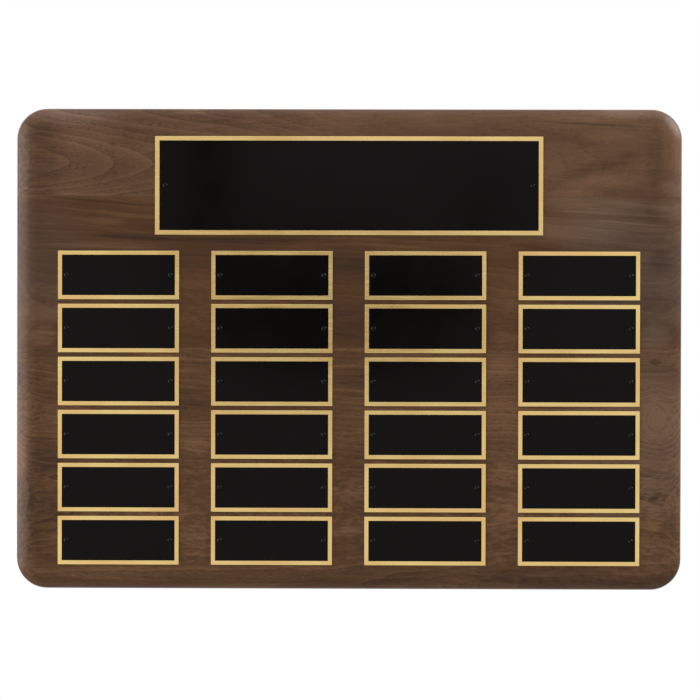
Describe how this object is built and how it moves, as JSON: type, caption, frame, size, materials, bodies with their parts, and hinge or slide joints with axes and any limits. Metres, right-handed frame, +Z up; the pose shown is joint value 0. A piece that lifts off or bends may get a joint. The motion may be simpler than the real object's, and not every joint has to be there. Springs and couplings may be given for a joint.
{
  "type": "wall plaque",
  "caption": "Walnut wall plaque with a rolled edge, a wide header plate and a grid of small black-and-brass name plates, hung by keyhole hangers.",
  "frame": {"origin": "centre of the board's flat back face, which lies on the wall", "axes": "+X to the right as seen from the front, +Y into the wall so the front faces -Y, +Z up"},
  "size_m": [0.4572, 0.021, 0.3302],
  "materials": {
    "top_walnut": "satin lacquered walnut, grain left to right",
    "middle_walnut": "satin lacquered walnut, grain left to right",
    "bottom_walnut": "satin lacquered walnut, grain left to right",
    "header_brass": "satin",
    "name_plate_brass": "satin",
    "black_lacquer": "black baked lacquer, satin",
    "black_screws": "blackened, semi-gloss",
    "hanger_steel": "bright zinc plate",
    "steel_screws": "bright zinc plate"
  },
  "bodies": {
    "root": {"top_stave": "top_walnut", "middle_stave": "middle_walnut", "bottom_stave": "bottom_walnut", "header_plate": "header_brass", "header_lacquer": "black_lacquer", "header_screws": "black_screws", "name_plate_r1_c1": "name_plate_brass", "name_plate_r1_c2": "name_plate_brass", "name_plate_r1_c3": "name_plate_brass", "name_plate_r1_c4": "name_plate_brass", "name_plate_r2_c1": "name_plate_brass", "name_plate_r2_c2": "name_plate_brass", "name_plate_r2_c3": "name_plate_brass", "name_plate_r2_c4": "name_plate_brass", "name_plate_r3_c1": "name_plate_brass", "name_plate_r3_c2": "name_plate_brass", "name_plate_r3_c3": "name_plate_brass", "name_plate_r3_c4": "name_plate_brass", "name_plate_r4_c1": "name_plate_brass", "name_plate_r4_c2": "name_plate_brass", "name_plate_r4_c3": "name_plate_brass", "name_plate_r4_c4": "name_plate_brass", "name_plate_r5_c1": "name_plate_brass", "name_plate_r5_c2": "name_plate_brass", "name_plate_r5_c3": "name_plate_brass", "name_plate_r5_c4": "name_plate_brass", "name_plate_r6_c1": "name_plate_brass", "name_plate_r6_c2": "name_plate_brass", "name_plate_r6_c3": "name_plate_brass", "name_plate_r6_c4": "name_plate_brass", "lacquer_column_1": "black_lacquer", "screws_column_1": "black_screws", "lacquer_column_2": "black_lacquer", "screws_column_2": "black_screws", "lacquer_column_3": "black_lacquer", "screws_column_3": "black_screws", "lacquer_column_4": "black_lacquer", "screws_column_4": "black_screws", "left_hanger": "hanger_steel", "right_hanger": "hanger_steel", "hanger_screws": "steel_screws"}
  },
  "joints": []
}
